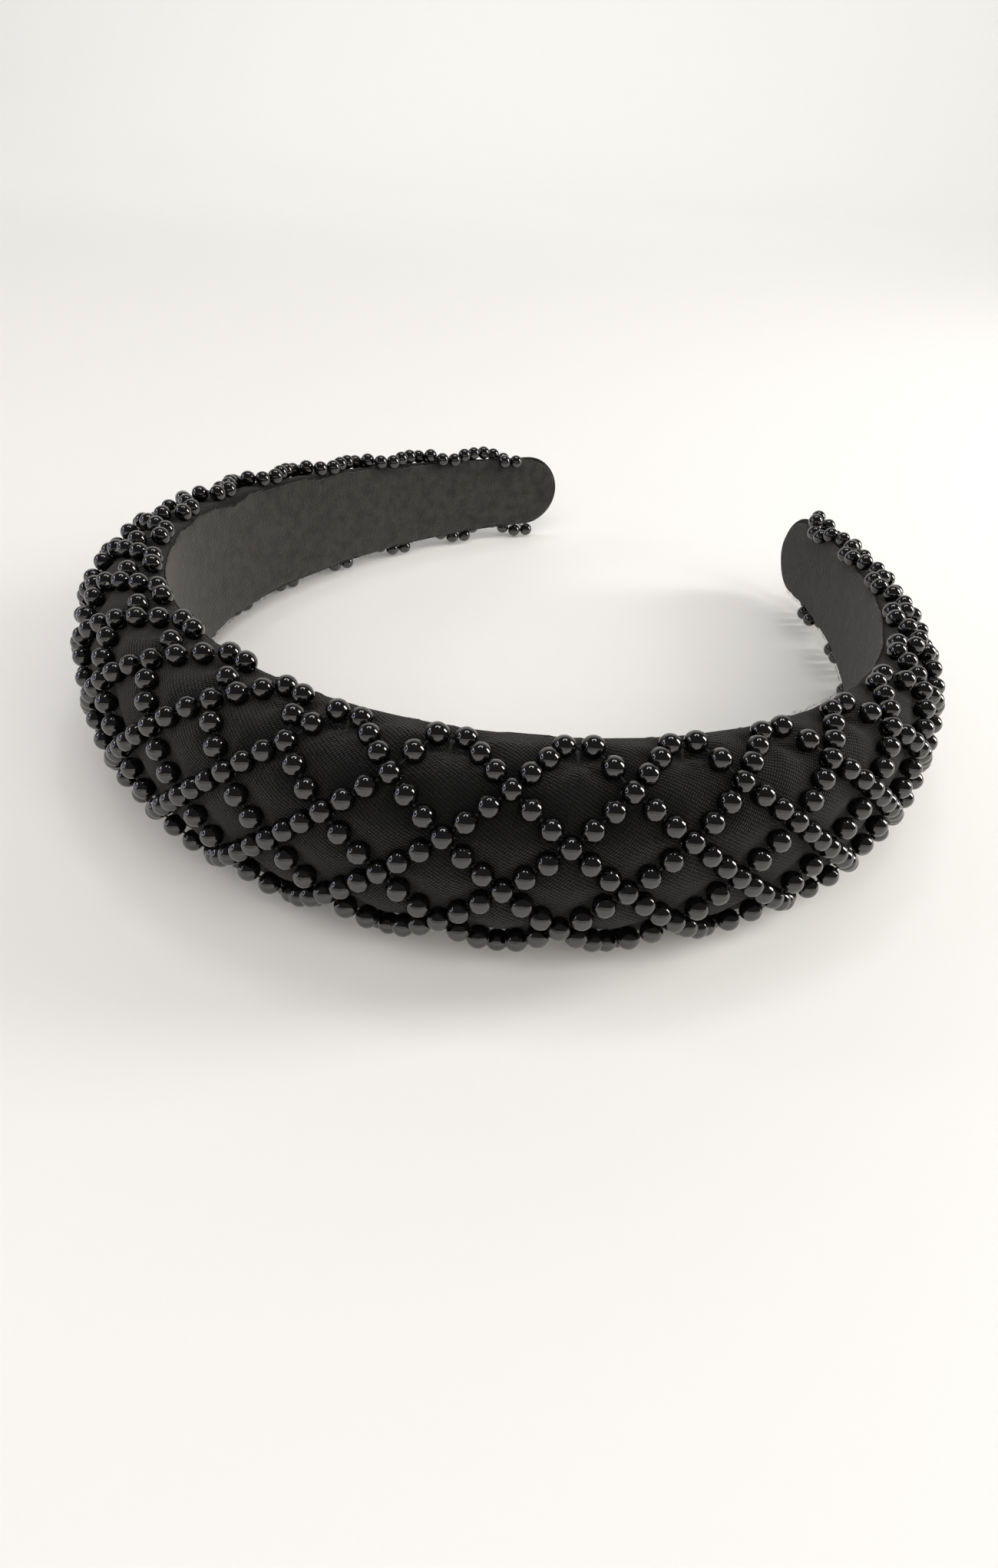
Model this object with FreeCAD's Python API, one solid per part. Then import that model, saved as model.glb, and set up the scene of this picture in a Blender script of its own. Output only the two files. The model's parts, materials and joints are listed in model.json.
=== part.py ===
# Padded headband covered in black cloth, with a net of round beads sewn over it.
#
# Flat frame used for building: the band's middle plane is z = 0, the crown's inner
# face touches the origin and the two arms run towards +Y.  "s" is the distance along
# the inner face from the middle of the crown (left side negative), "u" the distance
# outwards from the inner face and "z" the distance across the band.
# The finished pieces are then tipped so that the band lies on its lower rim.

import FreeCAD, Part
import math
import os
from FreeCAD import Vector

# ---------------------------------------------------------------- driving sizes, mm
# run of the inner face
crown_radius = 65.4         # crown and both shoulders
crown_sweep = 97.0          # degrees, middle of the crown to the start of an arm
arm_radius = 133.0
arm_length = 81.4           # along the inner face, start of the arm to its end

# section of the band
crown_width = 28.8
tip_width = 18.2
crown_depth = 14.4          # inner face to the top of the padding
tip_rise = 0.75             # top of the core to the outside of the cover, at the tip
taper_ease = 1.43           # above 1 keeps the crown full for longer before it narrows
dome_power = 0.75           # 1 is an ellipse, less is squarer

# layers, from the inner face outwards
lining_thickness = 0.5
lining_inset = 0.6          # lining edge to the band's edge
cover_thickness = 0.35
hem_width = 5.0             # cover turned in under the lining
core_thickness = 1.0
foam_short = 22.0           # foam stops this far before the end of the arm
layer_gap = 0.05            # between layers that lie on each other
foam_ease = 0.15            # foam to the cover stretched over it

# bead net
bead_diameter = 3.0
bead_hole = 0.8
bead_gap = 0.55             # thread showing between two beads of a leg
bead_seat = 0.1             # bead to cover
leg_beads = 2               # beads between two junction beads
half_rows = 3               # rows of diamonds from the middle line to one rim
net_start = 3.2             # first junction column, right of the middle
net_margin = 6.0            # net stops this far before the end of the arm
rim_share_crown = 0.80      # rim pairs, as a share of the way from middle line to edge
rim_share_arm = 1.0
rim_share_reach = 150.0     # distance over which that share changes
rim_pair_gap = 0.5          # between the two beads of a rim pair
rim_pair_lean = 1.0         # a rim pair sits off its column by this much
lean_switch = 25.0          # the lean changes direction at this place along the band
left_pair_lean = 2.2        # lean of the upper rim pairs left of the middle
left_lean_switch = 5.0
net_skew = 2.7              # upper rim pulled towards the middle on the left side
net_stretch = 0.14          # upper rows drawn further apart on the left side
pull_start = 12.0           # both of these come in between these two places
pull_end = -15.0
arm_rise = 2.0              # net drawn up over the upper rim along the arms
left_rise_start = 70.0
right_rise_start = 120.0
rise_run = 50.0
bead_room = 1.05            # row spacing allows each bead this share of its diameter
thread_diameter = 0.35
stitch_diameter = 0.4
stitch_length = 2.2

# flexing: one half turns about the middle of the core at the crown
spread_angle = 15.0         # opening
middle_gap = 0.6            # between the two halves at the hinge line
middle_zone = 4.8           # net nearer the middle than this bends with the crown

# ---------------------------------------------------------------- derived sizes
half_length = crown_radius * math.radians(crown_sweep) + arm_length
tip_round = tip_width / 2
bead_radius = bead_diameter / 2
bead_offset = bead_radius + bead_seat
fold_u = lining_thickness + layer_gap           # cover's turned-in hem lies here
core_u = fold_u + cover_thickness + layer_gap
foam_u = core_u + core_thickness + layer_gap
tip_depth = core_u + core_thickness + tip_rise
hinge_u = core_u + core_thickness / 2
leg_length = (leg_beads + 1) * (bead_diameter + bead_gap)
least_row = bead_diameter * bead_room * (leg_beads + 1) / 2
rim_pair_spacing = bead_diameter + rim_pair_gap

run_stations = 14
tip_station_angles = (12, 25, 45, 60, 72, 80)
dome_points = 17
outline_steps = 24


# ---------------------------------------------------------------- run and section
def on_run(s):
    """Point on the inner face's middle line and the outward direction there."""
    side = -1 if s < 0 else 1
    crown_end = math.radians(crown_sweep)
    along = abs(s)
    if along <= crown_radius * crown_end:
        turn = along / crown_radius
        centre = Vector(0, crown_radius, 0)
        radius = crown_radius
    else:
        turn = crown_end + (along - crown_radius * crown_end) / arm_radius
        out = Vector(math.sin(crown_end), -math.cos(crown_end), 0)
        centre = Vector(0, crown_radius, 0) + out * (crown_radius - arm_radius)
        radius = arm_radius
    out = Vector(math.sin(turn), -math.cos(turn), 0)
    point = centre + out * radius
    return Vector(side * point.x, point.y, 0), Vector(side * out.x, out.y, 0)


def place(s, z, u):
    point, out = on_run(s)
    return point + out * u + Vector(0, 0, z)


def curvature(s):
    return 1 / (crown_radius if abs(s) <= crown_radius * math.radians(crown_sweep) else arm_radius)


def eased(s):
    """1 at the crown, 0 at the tip."""
    share = min(abs(s) / half_length, 1)
    return (1 + math.cos(math.pi * share ** taper_ease)) / 2


def depth(s):
    return tip_depth + (crown_depth - tip_depth) * eased(s)


def half_width(s, inset=0.0):
    """Half the band's width, less an inset from its edge and from its rounded tip."""
    straight_end = half_length - tip_round
    if abs(s) <= straight_end:
        return (tip_width + (crown_width - tip_width) * eased(s)) / 2 - inset
    widest = (tip_width + (crown_width - tip_width) * eased(straight_end)) / 2 - inset
    past = (abs(s) - straight_end) / (tip_round - inset)
    return widest * math.sqrt(max(1 - past * past, 0))


def stations(inset=0.0, stop=None):
    """Places along one side where sections are drawn, closer together round the tip."""
    straight_end = half_length - tip_round if stop is None else stop
    places = [straight_end * i / run_stations for i in range(run_stations + 1)]
    if stop is None:
        places.insert(-1, straight_end - tip_round / 3)
        reach = tip_round - inset
        places += [straight_end + reach * math.sin(math.radians(a)) for a in tip_station_angles]
    return places


def dome(s, inset, base, lowest=None):
    """Points over the padding, edge to edge, for an outline inset from the cover's."""
    wide = half_width(s, inset)
    rise = depth(s) - inset - base
    start = 0.0
    if lowest is not None:
        start = math.asin(min((lowest - base) / rise, 1) ** (1 / dome_power))
    points = []
    for i in range(dome_points):
        angle = start + (math.pi - 2 * start) * i / (dome_points - 1)
        across = math.copysign(abs(math.cos(angle)) ** dome_power, math.cos(angle))
        points.append((wide * across, base + rise * abs(math.sin(angle)) ** dome_power))
    return points


def curve(s, points):
    spline = Part.BSplineCurve()
    spline.interpolate([place(s, z, u) for z, u in points])
    return spline.toShape()


def line(s, start, end):
    return Part.makeLine(place(s, *start), place(s, *end))


# ---------------------------------------------------------------- sections of the layers
def lining_section(s):
    half = half_width(s, lining_inset)
    corners = [(half, 0), (half, lining_thickness), (-half, lining_thickness), (-half, 0)]
    return Part.Wire([line(s, corners[i], corners[(i + 1) % 4]) for i in range(4)])


def core_section(s):
    inner = cover_thickness + layer_gap
    base = fold_u + cover_thickness
    top = core_u + core_thickness
    rise = depth(s) - inner - base
    slope = min((top - base) / rise, 1) ** (1 / dome_power)
    half = half_width(s, inner) * math.sqrt(1 - slope * slope) ** dome_power
    corners = [(half, core_u), (half, top), (-half, top), (-half, core_u)]
    return Part.Wire([line(s, corners[i], corners[(i + 1) % 4]) for i in range(4)])


def foam_section(s):
    points = dome(s, cover_thickness + foam_ease, fold_u + cover_thickness, foam_u)
    return Part.Wire([curve(s, points), line(s, points[-1], points[0])])


def cover_section(s):
    outside = dome(s, 0.0, fold_u)
    inside = dome(s, cover_thickness, fold_u + cover_thickness)
    inside.reverse()
    hem = max(half_width(s) - hem_width, half_width(s) * 0.4)
    under = fold_u
    over = fold_u + cover_thickness
    path = [outside[-1], (-hem, under), (-hem, over), inside[0]]
    edges = [curve(s, outside)]
    edges += [line(s, path[i], path[i + 1]) for i in range(3)]
    edges.append(curve(s, inside))
    path = [inside[-1], (hem, over), (hem, under), outside[0]]
    edges += [line(s, path[i], path[i + 1]) for i in range(3)]
    return Part.Wire(edges)


def middle_wedge():
    """Room at the crown for the outside of the padding to close up as the band opens."""
    reach = crown_depth * 2
    lean = reach * math.tan(math.radians(spread_angle / 2 + 1))
    start = middle_gap / 2
    corners = [(-reach, reach), (start, reach), (start, -hinge_u),
               (start + lean, -hinge_u - reach), (-reach, -hinge_u - reach)]
    points = [Vector(x, y, -crown_width) for x, y in corners]
    face = Part.Face(Part.makePolygon(points + [points[0]]))
    return face.extrude(Vector(0, 0, 2 * crown_width))


def layer(section, places):
    body = Part.makeLoft([section(s) for s in places], True, False)
    return body.cut(middle_wedge())


# ---------------------------------------------------------------- bead net
def outline(s):
    """Path of the bead centres over half a section: distance from the top, z, u and
    the outward direction."""
    wide = half_width(min(abs(s), half_length - tip_round))
    rise = depth(s) - fold_u
    samples = []
    gone = 0.0
    for i in range(outline_steps + 1):
        angle = math.pi / 2 * (1 - i / outline_steps)
        across = max(math.cos(angle), 1e-6)
        up = max(math.sin(angle), 1e-6)
        normal_z = rise * up ** (dome_power - 1) * across
        normal_u = wide * across ** (dome_power - 1) * up
        size = math.hypot(normal_z, normal_u)
        normal_z /= size
        normal_u /= size
        z = wide * across ** dome_power + normal_z * bead_offset
        u = fold_u + rise * up ** dome_power + normal_u * bead_offset
        if samples:
            gone += math.hypot(z - samples[-1][1], u - samples[-1][2])
        samples.append((gone, z, u, normal_z, normal_u))
    return samples


def eased_between(value, start, end):
    share = min(max((value - start) / (end - start), 0), 1)
    return share * share * (3 - 2 * share)


def settled(s, v):
    """Where a point of the even net lies once it is pulled up and skewed in place."""
    left = eased_between(s, pull_start, pull_end)
    rise_start = left_rise_start if s < 0 else right_rise_start
    arm = eased_between(abs(s), rise_start, rise_start + rise_run)
    upper = max(v, 0)
    s += net_skew * left * upper / (half_rows * row_step(s))
    v += net_stretch * left * (1 - arm) * upper + arm_rise * arm
    return s, v


def on_cover(s, v, lift=0.0):
    """Bead centre for a point of the even net, s along the band and v round its section
    from the top line.  Past the band's edge it goes on round to the lining's face."""
    s, v = settled(s, v)
    samples = outline(s)
    side = -1 if v < 0 else 1
    gone = abs(v)
    edge = samples[-1]
    past = gone - edge[0]
    corner = edge[1] - bead_offset
    if past >= 0:
        turn = min(max(past - fold_u, 0) / bead_offset, math.pi / 2)
        along_face = max(past - fold_u - bead_offset * math.pi / 2, 0)
        normal_z = math.cos(turn)
        normal_u = -math.sin(turn)
        z = corner + normal_z * bead_offset - along_face
        u = max(fold_u - past, 0) + normal_u * bead_offset
    else:
        after = next(i for i, sample in enumerate(samples) if sample[0] > gone)
        low = samples[after - 1]
        high = samples[after]
        share = (gone - low[0]) / (high[0] - low[0])
        z, u, normal_z, normal_u = [low[i] + (high[i] - low[i]) * share for i in range(1, 5)]
    return place(s, side * (z + normal_z * lift), u + normal_u * lift)


def row_step(s):
    """Distance round the section between two rows of junctions."""
    share = min(abs(s) / rim_share_reach, 1)
    rim_share = rim_share_crown + (rim_share_arm - rim_share_crown) * share * share
    return max(outline(s)[-1][0] * rim_share / half_rows, least_row)


def column_step(s):
    """Distance along the inner face between two columns of junctions."""
    along = math.sqrt(max(leg_length ** 2 - row_step(s) ** 2, (leg_length / 2) ** 2))
    return along / (1 + curvature(s) * (depth(s) + bead_offset))


def columns():
    """Junction columns, numbered from the one just right of the middle."""
    places = {0: net_start}
    for way in (1, -1):
        number = 0
        while True:
            here = places[number]
            there = here + way * column_step(here)
            there = here + way * column_step((here + there) / 2)
            if abs(there) > half_length - net_margin:
                break
            number += way
            places[number] = there
    return places


def build_net():
    """Bead centres with thread directions, thread lengths and rim stitches."""
    places = columns()
    beads = []
    links = []
    stitches = []
    junctions = {}

    def add_bead(kind, s, v, start, end):
        centre = on_cover(s, v)
        heading = on_cover(*end) - on_cover(*start)
        beads.append((kind, centre, heading))
        return centre

    def add_leg(kind, start, end, first, last):
        """Beads evenly spaced between two fixed ones, as many as the usual gap leaves."""
        span = (on_cover(*end) - on_cover(*start)).Length
        fitting = int(span / (bead_diameter * 1.015)) - 1
        wanted = round(span / (bead_diameter + bead_gap)) - 1
        count = max(min(fitting, wanted), 0)
        chain = [first]
        for i in range(1, count + 1):
            share = i / (count + 1)
            s = start[0] + (end[0] - start[0]) * share
            v = start[1] + (end[1] - start[1]) * share
            chain.append(add_bead(kind, s, v, start, end))
        chain.append(last)
        links.extend((chain[i], chain[i + 1]) for i in range(len(chain) - 1))

    for number, s in places.items():
        for row in range(1 - half_rows, half_rows):
            if (row + number) % 2 == 0:
                v = row * row_step(s)
                along = (s - 1, v), (s + 1, v)
                junctions[number, row] = (s, v), add_bead("junction", s, v, *along)

    for (number, row), (start, first) in junctions.items():
        for way in (1, -1):
            if (number + way, row + 1) in junctions:
                end, last = junctions[number + way, row + 1]
                strand = "strand_%d" % (half_rows - row)
                add_leg(strand, start, end, first, last)

    for number, s in places.items():
        if (number + half_rows) % 2:
            continue
        for side, kind, strand in ((1, "upper_rim", 1), (-1, "lower_rim", 2 * half_rows)):
            lean = rim_pair_lean if s > lean_switch else -rim_pair_lean
            if side > 0 and s < left_lean_switch:
                lean = left_pair_lean
            v = side * half_rows * row_step(s)
            pair = []
            for way in (1, -1):
                rim = (s + lean + way * rim_pair_spacing / 2 / (1 + curvature(s) * fold_u), v)
                centre = add_bead(kind, *rim, (rim[0] - 1, v), (rim[0] + 1, v))
                pair.append(centre)
                key = number + way, side * (half_rows - 1)
                if key in junctions:
                    end, last = junctions[key]
                    add_leg("strand_%d" % strand, rim, end, centre, last)
            links.append(tuple(pair))
            sunk = stitch_diameter - bead_offset
            reach = stitch_length / 2
            stitches.append((on_cover(s + lean, v - reach, sunk), on_cover(s + lean, v + reach, sunk)))
    return beads, links, stitches


def side_of(point):
    return "right" if point.x > 0 else "left"


def make_bead():
    ball = Part.makeSphere(bead_radius)
    hole = Part.makeCylinder(bead_hole / 2, 2 * bead_diameter, Vector(0, 0, -bead_diameter))
    return ball.cut(hole)


def rod(start, end, diameter):
    return Part.makeCylinder(diameter / 2, (end - start).Length, start, end - start)


def net_pieces():
    beads, links, stitches = build_net()
    groups = {}
    pattern = make_bead()
    for kind, centre, heading in beads:
        node = "%s_beads_%s" % (kind, side_of(centre))
        if abs(centre.x) < middle_zone and centre.y < 0 and kind != "lower_rim":
            node = "middle_beads"
        bead = pattern.copy()
        bead.Placement = FreeCAD.Placement(centre, FreeCAD.Rotation(Vector(0, 0, 1), heading))
        groups.setdefault(node, []).append(bead)
    for start, end in links:
        way = end - start
        showing = way.Length - bead_diameter - 2 * layer_gap
        if showing < layer_gap:
            continue
        way.normalize()
        middle = (start + end) / 2
        node = "net_thread_" + side_of(middle)
        if abs(middle.x) < middle_zone and middle.y < 0:
            node = "net_thread_middle"
        half = way * (showing / 2)
        groups.setdefault(node, []).append(rod(middle - half, middle + half, thread_diameter))
    for start, end in stitches:
        node = "tack_stitches_" + side_of(start)
        groups.setdefault(node, []).append(rod(start, end, stitch_diameter))
    return {node: Part.makeCompound(solids) for node, solids in groups.items()}


# ---------------------------------------------------------------- whole headband
def build():
    core_inset = cover_thickness + layer_gap
    sides = {
        "lining": layer(lining_section, stations(lining_inset)),
        "core": layer(core_section, stations(core_inset)),
        "foam": layer(foam_section, stations(stop=half_length - foam_short)),
        "cover": layer(cover_section, stations(cover_thickness)),
    }
    pieces = {}
    for name, shape in sides.items():
        pieces[name + "_right"] = shape
        pieces[name + "_left"] = shape.mirror(Vector(0, 0, 0), Vector(1, 0, 0))
    pieces.update(net_pieces())
    return pieces


def resting(pieces):
    """Tip the band on to its lower rim and put the origin under the middle of its box."""
    tip_point = on_run(half_length)[0]
    tilt = math.degrees(math.atan2((crown_width - tip_width) / 2, tip_point.y))
    tipped = FreeCAD.Placement(Vector(), FreeCAD.Rotation(Vector(1, 0, 0), -tilt))
    for shape in pieces.values():
        shape.Placement = tipped.multiply(shape.Placement)
    box = FreeCAD.BoundBox()
    for shape in pieces.values():
        box.add(shape.optimalBoundingBox())
    shift = Vector(-box.Center.x, -box.Center.y, -box.ZMin)
    for shape in pieces.values():
        shape.translate(shift)
    hinge = tipped.multVec(Vector(0, -hinge_u, 0)) + shift
    axis = tipped.multVec(Vector(0, 0, 1))
    return tilt, hinge, axis, box


def main():
    os.makedirs("parts", exist_ok=True)
    pieces = build()
    tilt, hinge, axis, box = resting(pieces)
    for node, shape in sorted(pieces.items()):
        shape.exportStep("parts/%s.step" % node)
        print("%-28s %4d solids %10.2f mm3" % (node, len(shape.Solids), shape.Volume))
    print("overall %.2f x %.2f x %.2f mm" % (box.XLength, box.YLength, box.ZLength))
    print("tilt %.3f deg, hinge at %.3f %.3f %.3f, axis %.5f %.5f %.5f"
          % (tilt, hinge.x, hinge.y, hinge.z, axis.x, axis.y, axis.z))


main()
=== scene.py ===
import json
import math

import bpy
import numpy as np
from mathutils import Matrix, Vector


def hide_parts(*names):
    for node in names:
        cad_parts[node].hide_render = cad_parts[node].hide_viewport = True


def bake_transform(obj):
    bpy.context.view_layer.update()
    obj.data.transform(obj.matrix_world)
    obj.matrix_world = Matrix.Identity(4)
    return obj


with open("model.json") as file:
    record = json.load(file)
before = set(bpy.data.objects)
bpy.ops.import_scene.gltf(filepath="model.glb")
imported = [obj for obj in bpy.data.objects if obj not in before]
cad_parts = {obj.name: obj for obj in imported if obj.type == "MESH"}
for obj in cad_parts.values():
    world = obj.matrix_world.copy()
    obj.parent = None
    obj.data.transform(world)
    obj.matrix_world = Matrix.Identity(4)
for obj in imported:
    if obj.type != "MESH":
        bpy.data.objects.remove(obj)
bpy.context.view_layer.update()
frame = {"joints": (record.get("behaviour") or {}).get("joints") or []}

noise = np.random.default_rng(7)
mm = 0.001

# the band's own sizes, in mm, as the CAD was drawn
band = {
    "crownRadius": 65.4, "crownSweep": 97.0, "armRadius": 133.0, "armLength": 81.4,
    "crownWidth": 28.8, "tipWidth": 18.2, "crownDepth": 14.4, "tipDepth": 2.7,
    "taperEase": 1.43, "domePower": 0.75,
    "lining": 0.5, "cover": 0.35, "core": 1.0, "gap": 0.05,
}
net = {
    "bead": 3.0, "hole": 0.8, "gap": 0.55, "seat": 0.1, "legBeads": 2, "halfRows": 3,
    "legRoom": 1.015, "sectionSteps": 24, "middleHalf": 4.8,
    "start": 3.2, "margin": 6.0, "rimShareCrown": 0.80, "rimShareArm": 1.0, "rimShareReach": 150.0,
    "pairSpacing": 3.5, "pairLean": 1.0, "leanSwitch": 25.0, "leftPairLean": 2.2, "leftLeanSwitch": 5.0,
    "skew": 2.7, "stretch": 0.14, "pullStart": 12.0, "pullEnd": -15.0, "armRise": 2.0,
    "leftRiseStart": 70.0, "rightRiseStart": 120.0, "riseRun": 50.0, "room": 1.05,
}
halfLength = band["crownRadius"] * math.radians(band["crownSweep"]) + band["armLength"]
foldU = band["lining"] + band["gap"]
coreU = foldU + band["cover"] + band["gap"]
foamU = coreU + band["core"] + band["gap"]
hingeU = coreU + band["core"] / 2
beadRadius = net["bead"] / 2
beadOffset = beadRadius + net["seat"]

# flat frame to part frame: z across the band, crown's inner face at the origin
joint = frame["joints"][0]
hingePoint = np.array(joint["pos_m"])
flatZ = -np.array(joint["axis"], float)
flatX = np.array([1.0, 0.0, 0.0])
flatY = np.cross(flatZ, flatX)
flatOrigin = hingePoint + flatY * hingeU * mm


def toPart(points):
    p = np.asarray(points, float) * mm
    return flatOrigin + p[..., 0:1] * flatX + p[..., 1:2] * flatY + p[..., 2:3] * flatZ


# where a point is on the band: s along it from the crown, z across it, u out from its inner face
def run(s):
    s = np.asarray(s, float)
    side = np.where(s < 0, -1.0, 1.0)
    sweep = math.radians(band["crownSweep"])
    bend = band["crownRadius"] * sweep
    along = np.abs(s)
    onCrown = along <= bend
    turn = np.where(onCrown, along / band["crownRadius"], sweep + (along - bend) / band["armRadius"])
    radius = np.where(onCrown, band["crownRadius"], band["armRadius"])
    shift = np.where(onCrown, 0.0, band["crownRadius"] - band["armRadius"])
    centreX = math.sin(sweep) * shift
    centreY = band["crownRadius"] - math.cos(sweep) * shift
    outX, outY = np.sin(turn), -np.cos(turn)
    return side * (centreX + outX * radius), centreY + outY * radius, side * outX, outY


def place(s, z, u):
    x, y, outX, outY = run(s)
    return np.stack(np.broadcast_arrays(x + outX * u, y + outY * u, z), -1)


def curvature(s):
    bend = band["crownRadius"] * math.radians(band["crownSweep"])
    return 1 / (band["crownRadius"] if abs(s) <= bend else band["armRadius"])


def eased(s):
    share = np.minimum(np.abs(s) / halfLength, 1)
    return (1 + np.cos(np.pi * share ** band["taperEase"])) / 2


def depth(s):
    return band["tipDepth"] + (band["crownDepth"] - band["tipDepth"]) * eased(s)


def halfWidth(s, inset=0.0):
    tipRound = band["tipWidth"] / 2
    straightEnd = halfLength - tipRound
    s = np.abs(s)
    wider = (band["crownWidth"] - band["tipWidth"]) * eased(np.minimum(s, straightEnd))
    full = (band["tipWidth"] + wider) / 2
    past = np.clip((s - straightEnd) / (tipRound - inset), 0, 1)
    return (full - inset) * np.sqrt(1 - past ** 2)


# the net is laid out bead by bead on the padding, v being the way round the section from its top
def outline(s):
    wide = float(halfWidth(min(abs(s), halfLength - band["tipWidth"] / 2)))
    rise = float(depth(s)) - foldU
    angle = np.pi / 2 * (1 - np.arange(net["sectionSteps"] + 1) / net["sectionSteps"])
    across = np.maximum(np.cos(angle), 1e-6)
    up = np.maximum(np.sin(angle), 1e-6)
    normalZ = rise * up ** (band["domePower"] - 1) * across
    normalU = wide * across ** (band["domePower"] - 1) * up
    size = np.hypot(normalZ, normalU)
    normalZ, normalU = normalZ / size, normalU / size
    z = wide * across ** band["domePower"] + normalZ * beadOffset
    u = foldU + rise * up ** band["domePower"] + normalU * beadOffset
    gone = np.concatenate([[0], np.cumsum(np.hypot(np.diff(z), np.diff(u)))])
    return gone, z, u, normalZ, normalU


def easedBetween(value, start, end):
    share = min(max((value - start) / (end - start), 0), 1)
    return share * share * (3 - 2 * share)


def settled(s, v):
    left = easedBetween(s, net["pullStart"], net["pullEnd"])
    riseStart = net["leftRiseStart"] if s < 0 else net["rightRiseStart"]
    arm = easedBetween(abs(s), riseStart, riseStart + net["riseRun"])
    upper = max(v, 0)
    s += net["skew"] * left * upper / (net["halfRows"] * rowStep(s))
    return s, v + net["stretch"] * left * (1 - arm) * upper + net["armRise"] * arm


def onCover(s, v, lift=0.0):
    s, v = settled(s, v)
    gone, z, u, normalZ, normalU = outline(s)
    side = -1 if v < 0 else 1
    v = abs(v)
    past = v - gone[-1]
    if past >= 0:
        turn = min(max(past - foldU, 0) / beadOffset, math.pi / 2)
        alongFace = max(past - foldU - beadOffset * math.pi / 2, 0)
        nz, nu = math.cos(turn), -math.sin(turn)
        hereZ = z[-1] - beadOffset + nz * beadOffset - alongFace
        hereU = max(foldU - past, 0) + nu * beadOffset
    else:
        hereZ, hereU, nz, nu = (float(np.interp(v, gone, row)) for row in (z, u, normalZ, normalU))
    return place(s, side * (hereZ + nz * lift), hereU + nu * lift)


def rowStep(s):
    share = min(abs(s) / net["rimShareReach"], 1)
    rimShare = net["rimShareCrown"] + (net["rimShareArm"] - net["rimShareCrown"]) * share * share
    least = net["bead"] * net["room"] * (net["legBeads"] + 1) / 2
    return max(outline(s)[0][-1] * rimShare / net["halfRows"], least)


def columnStep(s):
    leg = (net["legBeads"] + 1) * (net["bead"] + net["gap"])
    along = math.sqrt(max(leg ** 2 - rowStep(s) ** 2, (leg / 2) ** 2))
    return along / (1 + curvature(s) * (float(depth(s)) + beadOffset))


def layNet():
    places = {0: net["start"]}
    for way in (1, -1):
        number = 0
        while True:
            here = places[number]
            there = here + way * columnStep(here)
            there = here + way * columnStep((here + there) / 2)
            if abs(there) > halfLength - net["margin"]:
                break
            number += way
            places[number] = there
    beads, links, tacks, junctions = [], [], [], {}
    rows = net["halfRows"]

    def addBead(kind, s, v, start, end):
        centre = onCover(s, v)
        heading = onCover(*end) - onCover(*start)
        beads.append((kind, centre, heading / np.linalg.norm(heading), onCover(s, v, 1.0) - centre))
        return len(beads) - 1

    def addLeg(kind, start, end, first, last):
        span = np.linalg.norm(onCover(*end) - onCover(*start))
        wanted = round(span / (net["bead"] + net["gap"])) - 1
        count = max(min(int(span / (net["bead"] * net["legRoom"])) - 1, wanted), 0)
        chain = [first]
        for i in range(1, count + 1):
            share = i / (count + 1)
            s = start[0] + (end[0] - start[0]) * share
            v = start[1] + (end[1] - start[1]) * share
            chain.append(addBead(kind, s, v, start, end))
        chain.append(last)
        links.extend(zip(chain[:-1], chain[1:]))

    for number, s in places.items():
        for row in range(1 - rows, rows):
            if (row + number) % 2 == 0:
                v = row * rowStep(s)
                junctions[number, row] = (s, v), addBead("junction", s, v, (s - 1, v), (s + 1, v))
    for (number, row), (start, first) in junctions.items():
        for way in (1, -1):
            if (number + way, row + 1) in junctions:
                end, last = junctions[number + way, row + 1]
                addLeg("strand_%d" % (rows - row), start, end, first, last)
    for number, s in places.items():
        if (number + rows) % 2:
            continue
        for side, kind, strand in ((1, "upper_rim", 1), (-1, "lower_rim", 2 * rows)):
            lean = net["pairLean"] if s > net["leanSwitch"] else -net["pairLean"]
            if side > 0 and s < net["leftLeanSwitch"]:
                lean = net["leftPairLean"]
            v = side * rows * rowStep(s)
            pair = []
            for way in (1, -1):
                rim = (s + lean + way * net["pairSpacing"] / 2 / (1 + curvature(s) * foldU), v)
                pair.append(addBead(kind, *rim, (rim[0] - 1, v), (rim[0] + 1, v)))
                key = number + way, side * (rows - 1)
                if key in junctions:
                    end, last = junctions[key]
                    addLeg("strand_%d" % strand, rim, end, pair[-1], last)
            links.append(tuple(pair))
            tacks.append((s + lean, v))
    return beads, links, tacks


beads, links, tacks = layNet()
beadCentres = np.array([b[1] for b in beads])
print("net: %d beads, %d threads, %d tacks" % (len(beads), len(links), len(tacks)))


# sRGB hex to the linear colour that sockets take
def linear(hexCode):
    parts = [int(hexCode[i:i + 2], 16) / 255 for i in (1, 3, 5)]
    return [p / 12.92 if p <= 0.04045 else ((p + 0.055) / 1.055) ** 2.4 for p in parts] + [1.0]


def addNode(tree, kind, inputs=None, **settings):
    made = tree.nodes.new(kind)
    for key, value in settings.items():
        setattr(made, key, value)
    for key, value in (inputs or {}).items():
        if isinstance(value, bpy.types.NodeSocket):
            tree.links.new(value, made.inputs[key])
        else:
            made.inputs[key].default_value = value
    return made


def newMaterial(name):
    material = bpy.data.materials.new(name)
    material.use_nodes = True
    return material, material.node_tree, material.node_tree.nodes["Principled BSDF"]


def setShader(shader, **values):
    for key, value in values.items():
        shader.inputs[key.replace("_", " ")].default_value = value


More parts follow.
